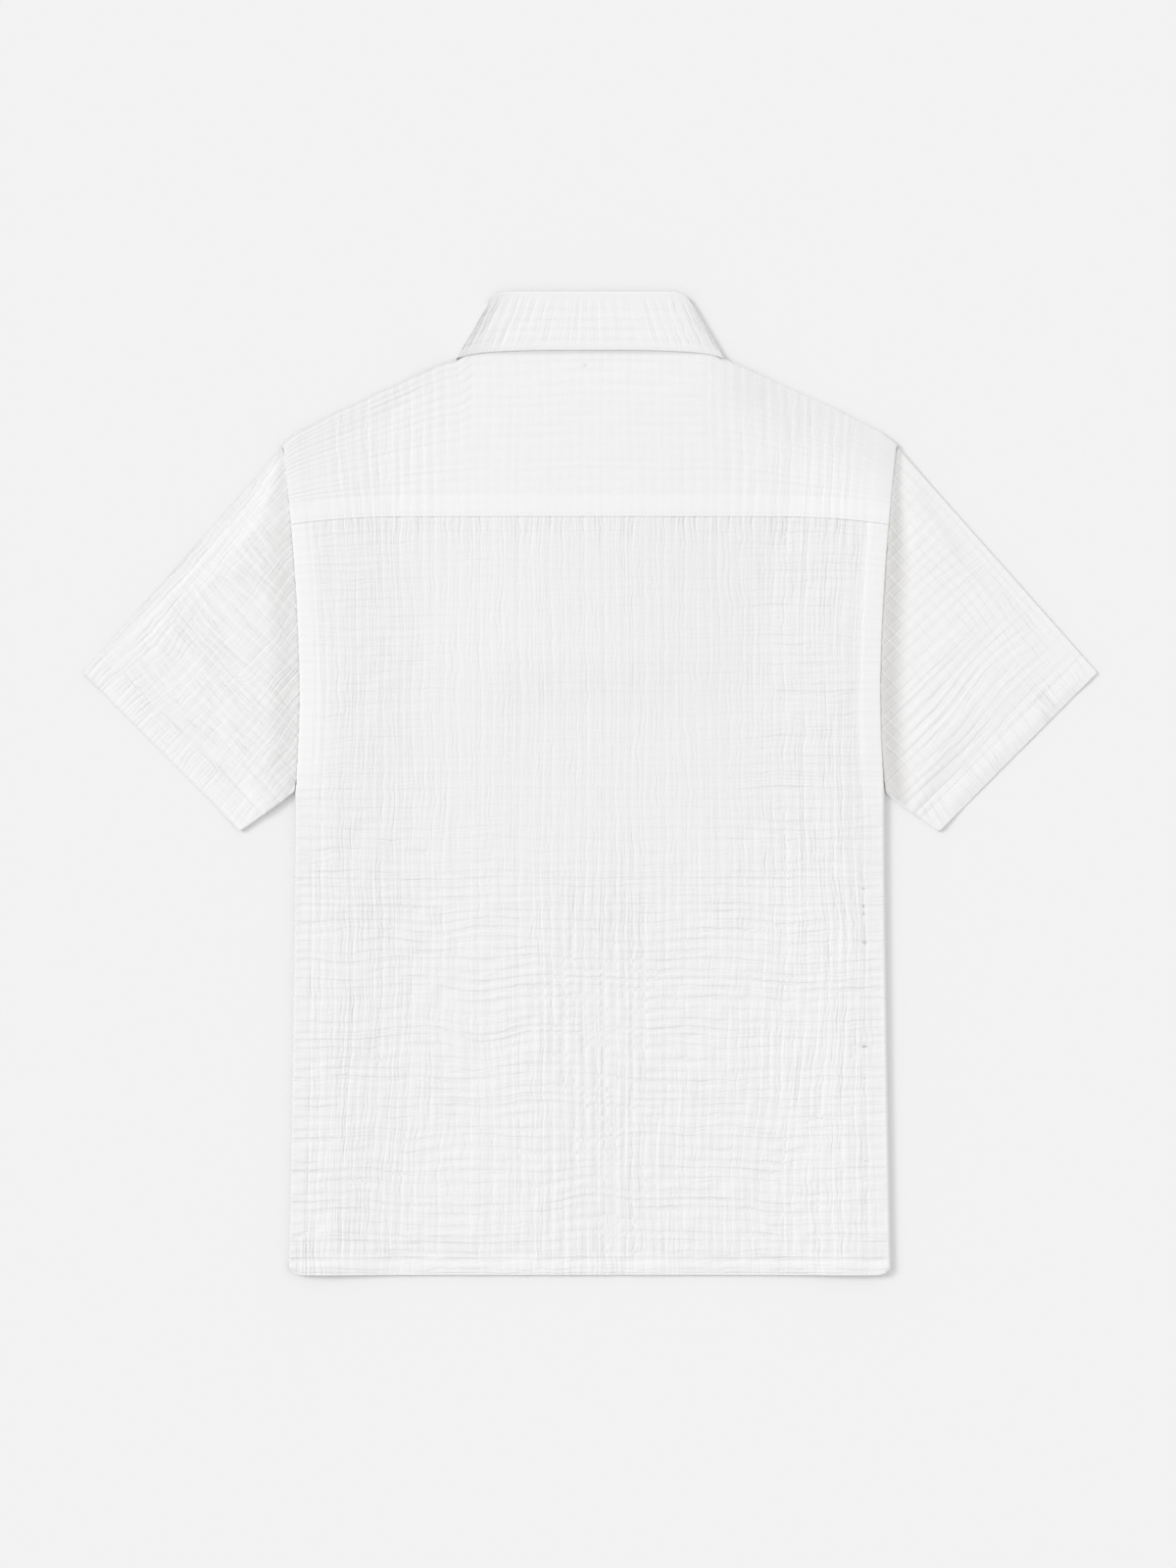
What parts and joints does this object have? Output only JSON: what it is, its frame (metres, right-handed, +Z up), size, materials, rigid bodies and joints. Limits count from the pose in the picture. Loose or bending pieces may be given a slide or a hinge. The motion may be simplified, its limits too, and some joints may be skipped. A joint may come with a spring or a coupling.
{
  "type": "polo shirt",
  "caption": "Short-sleeved shirt in crinkled double gauze, laid flat and face down, with a back yoke, a turned-down collar and a half placket underneath.",
  "frame": {"origin": "on the table under the middle of the shirt's box: z = 0 is the surface it lies on", "axes": "+Z up from the front, which lies on the table, to the back; +Y from the hem to the collar; +X to the wearer's right sleeve as seen from above the back"},
  "size_m": [0.814, 0.7887, 0.0074],
  "materials": {
    "cotton": "matte white crinkled double gauze",
    "button": "satin off-white resin"
  },
  "bodies": {
    "root": {"front": "cotton", "back_panel": "cotton", "yoke": "cotton", "sleeve_left": "cotton", "sleeve_right": "cotton", "collar_stand": "cotton", "collar_fall": "cotton", "placket_outer": "cotton", "placket_inner": "cotton", "button_1": "button", "button_2": "button", "button_3": "button"}
  },
  "joints": []
}
